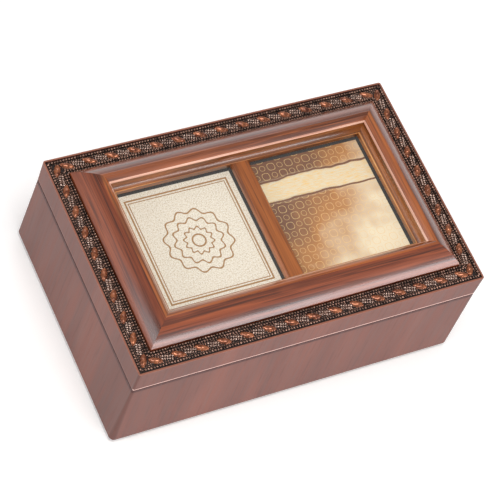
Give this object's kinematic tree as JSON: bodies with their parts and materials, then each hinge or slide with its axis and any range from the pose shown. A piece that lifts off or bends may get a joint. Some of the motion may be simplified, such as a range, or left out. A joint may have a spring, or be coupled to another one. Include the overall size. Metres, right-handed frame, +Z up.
{
  "type": "jewelry music box",
  "caption": "Rectangular wooden keepsake box with a hinged picture-frame lid, a lined bay, and a wind-up cylinder musical movement worked by the lid.",
  "frame": {"origin": "centre of the footprint, on the plane the feet stand on", "axes": "+X along the box's length, +Y to the hinges at the back, +Z up"},
  "size_m": [0.1604, 0.1062, 0.0644],
  "materials": {
    "side_wood": "satin lacquered mauve-brown woodgrain",
    "moulding_wood": "satin lacquered reddish-brown woodgrain",
    "bead_trim": "antiqued dark bronze over a moulded strip",
    "board": "plain stained board",
    "chipboard": "grey-brown backing board",
    "foot_rubber": "matte",
    "velvet": "short pile",
    "clear_acrylic": "clear",
    "window_glass": "clear",
    "cream_card": "speckled cream",
    "gold_card": "warm gold print",
    "brass": "polished",
    "plate_metal": "grey cast and plated",
    "steel": "bright",
    "nickel": "nickel plated",
    "fan_plastic": "thin blade"
  },
  "bodies": {
    "case": {"wall_front": "side_wood", "wall_back": "side_wood", "wall_left": "side_wood", "wall_right": "side_wood", "bottom_panel": "board", "corner_blocks": "board", "feet": "foot_rubber", "divider": "board", "bay_pad": "velvet", "bay_lining": "velvet", "cover_ledges": "board", "movement_cover": "clear_acrylic", "hinge_case_leaves": "brass", "hinge_pins": "brass", "hinge_case_screws": "brass", "bedplate": "plate_metal", "mount_screws": "steel", "comb": "steel", "comb_screws": "steel", "bearing_brackets": "plate_metal", "governor_frame": "plate_metal", "ratchet_click": "steel"},
    "lid": {"lid_band_front": "side_wood", "lid_band_back": "side_wood", "lid_band_left": "side_wood", "lid_band_right": "side_wood", "lid_trim_front": "bead_trim", "lid_trim_back": "bead_trim", "lid_trim_left": "bead_trim", "lid_trim_right": "bead_trim", "lid_moulding_front": "moulding_wood", "lid_moulding_back": "moulding_wood", "lid_moulding_left": "moulding_wood", "lid_moulding_right": "moulding_wood", "mullion": "moulding_wood", "window_pane_left": "window_glass", "window_pane_right": "window_glass", "card_left": "cream_card", "card_right": "gold_card", "backing_board": "chipboard", "lid_panel": "board", "lid_lining": "velvet", "hinge_lid_leaves": "brass", "hinge_lid_screws": "brass"},
    "winder": {"winding_arbor": "steel", "ratchet_wheel": "steel", "winding_key": "nickel"},
    "barrel": {"spring_barrel": "nickel", "barrel_floor": "nickel", "mainspring": "steel"},
    "cylinder": {"pin_cylinder": "brass", "cylinder_arbor": "steel", "cylinder_pinion": "brass", "cylinder_gear": "brass"},
    "governor": {"governor_arbor": "steel", "governor_pinion": "brass", "worm_wheel": "brass"},
    "air_brake": {"worm": "steel", "fan": "fan_plastic"},
    "stop": {"stop_rod": "steel"}
  },
  "joints": [
    {"name": "lid_hinge", "type": "hinge", "parent": "case", "child": "lid", "pos_m": [0, 0.05155, 0.0429], "axis": [-1, 0, 0], "range_deg": [0, 95]},
    {"name": "key_turn", "type": "hinge", "parent": "case", "child": "winder", "pos_m": [0.045, -0.01665, 0.0174], "axis": [0, 0, 1], "continuous": true},
    {"name": "barrel_turn", "type": "hinge", "parent": "case", "child": "barrel", "pos_m": [0.045, -0.01665, 0.0174], "axis": [0, 0, 1], "continuous": true},
    {"name": "cylinder_turn", "type": "hinge", "parent": "case", "child": "cylinder", "pos_m": [0.045, -0.00115, 0.0329], "axis": [0, 1, 0], "continuous": true},
    {"name": "governor_turn", "type": "hinge", "parent": "case", "child": "governor", "pos_m": [0.03881, -0.00115, 0.02671], "axis": [0, 1, 0], "continuous": true},
    {"name": "fan_turn", "type": "hinge", "parent": "case", "child": "air_brake", "pos_m": [0.03381, 0.02095, 0.0174], "axis": [0, 0, 1], "continuous": true},
    {"name": "stop_slide", "type": "slide", "parent": "case", "child": "stop", "axis": [0, 0, 1], "range_m": [0, 0.0025]}
  ],
  "couplings": [
    {"joint": "barrel_turn", "follows": "cylinder_turn", "ratio": 0.3},
    {"joint": "governor_turn", "follows": "cylinder_turn", "ratio": -4},
    {"joint": "fan_turn", "follows": "cylinder_turn", "ratio": 80},
    {"joint": "stop_slide", "follows": "lid_hinge", "m_per_rad": 0.001507}
  ]
}
